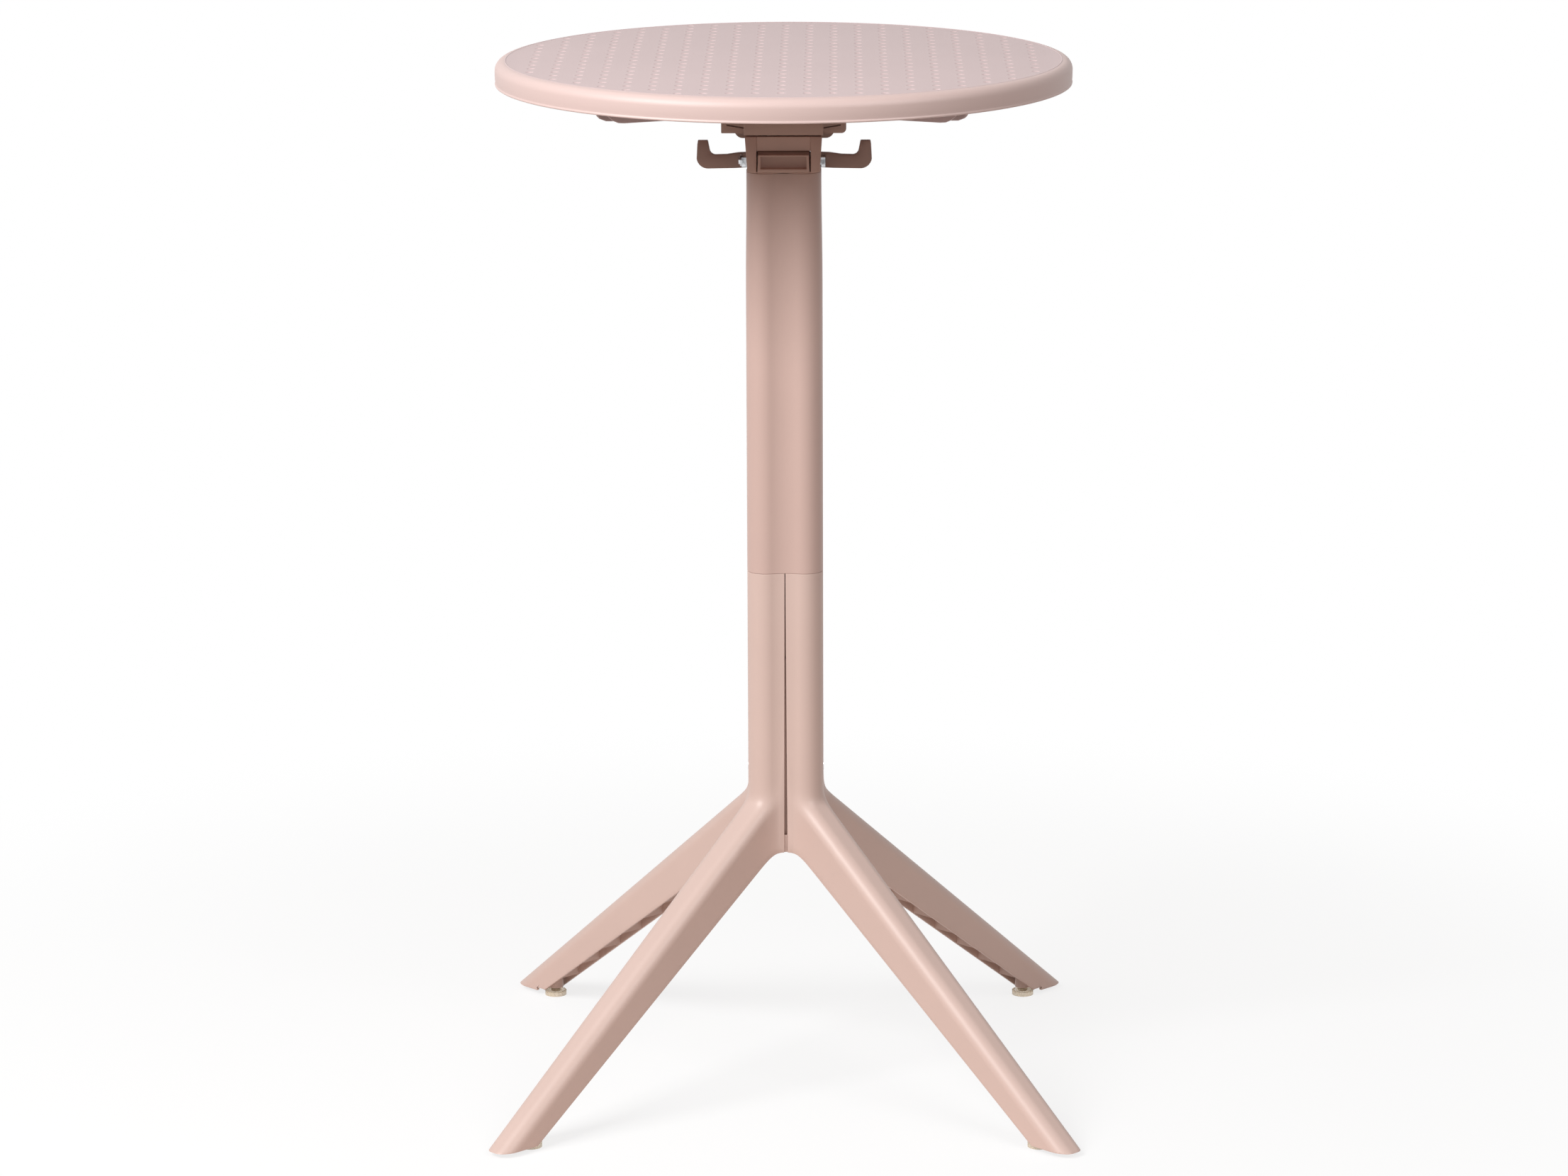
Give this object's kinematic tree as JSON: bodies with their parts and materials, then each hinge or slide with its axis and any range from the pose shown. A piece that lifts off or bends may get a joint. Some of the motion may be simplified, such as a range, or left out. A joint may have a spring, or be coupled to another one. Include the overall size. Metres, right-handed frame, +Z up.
{
  "type": "bar table",
  "caption": "Round tilt-top bar table with a dimpled domed top, a lobed square column, splayed legs, bag hooks and levelling glides.",
  "frame": {"origin": "floor level under the column's axis", "axes": "+Z up, -Y towards the side with the release lever, +X to the right seen from that side"},
  "size_m": [0.6114, 0.6114, 1.1],
  "materials": {
    "top_plastic": "fine-grained dusty-pink glass-filled polypropylene, a little greyer on the field",
    "column_plastic": "fine-grained dusty-pink glass-filled polypropylene",
    "head_plastic": "brown-pink moulded polyamide",
    "hook_plastic": "darker brown moulded polyamide",
    "stainless": "stainless steel fasteners",
    "zinc_steel": "bright zinc-plated steel",
    "bush_plastic": "black acetal",
    "glide_plastic": "clear amber plastic"
  },
  "bodies": {
    "base": {"latch_pin": "stainless", "latch_spring": "stainless", "column_head": "head_plastic", "upper_column": "column_plastic", "head_screws": "stainless", "pivot_bolt": "zinc_steel", "pivot_nut": "zinc_steel", "pivot_washers": "stainless", "pivot_sleeve": "zinc_steel", "left_bag_hook": "hook_plastic", "right_bag_hook": "hook_plastic", "hook_screws": "stainless", "left_leg_half": "column_plastic", "right_leg_half": "column_plastic", "clamp_bolts": "stainless", "clamp_nuts": "stainless", "glide_inserts": "zinc_steel"},
    "top": {"table_top": "top_plastic", "tilt_bracket": "head_plastic", "bracket_screws": "stainless", "pivot_bushes": "bush_plastic", "latch_keeper": "zinc_steel", "keeper_screws": "stainless"},
    "lever": {"release_lever": "head_plastic"},
    "front_left_foot": {"front_left_glide": "glide_plastic", "front_left_stud": "stainless"},
    "front_right_foot": {"front_right_glide": "glide_plastic", "front_right_stud": "stainless"},
    "back_left_foot": {"back_left_glide": "glide_plastic", "back_left_stud": "stainless"},
    "back_right_foot": {"back_right_glide": "glide_plastic", "back_right_stud": "stainless"}
  },
  "joints": [
    {"name": "top_tilt", "type": "hinge", "parent": "base", "child": "top", "pos_m": [0, 0.021, 0.988], "axis": [-1, 0, 0], "range_deg": [0, 90]},
    {"name": "lever_pull", "type": "hinge", "parent": "base", "child": "lever", "pos_m": [0, -0.036, 1.003], "axis": [-1, 0, 0], "range_deg": [0, 15], "stiffness_Nm_per_rad": 0.3, "springref_deg": -11.46},
    {"name": "front_left_level", "type": "slide", "parent": "base", "child": "front_left_foot", "axis": [0, 0, -1], "range_m": [0, 0.008]},
    {"name": "front_right_level", "type": "slide", "parent": "base", "child": "front_right_foot", "axis": [0, 0, -1], "range_m": [0, 0.008]},
    {"name": "back_left_level", "type": "slide", "parent": "base", "child": "back_left_foot", "axis": [0, 0, -1], "range_m": [0, 0.008]},
    {"name": "back_right_level", "type": "slide", "parent": "base", "child": "back_right_foot", "axis": [0, 0, -1], "range_m": [0, 0.008]}
  ]
}
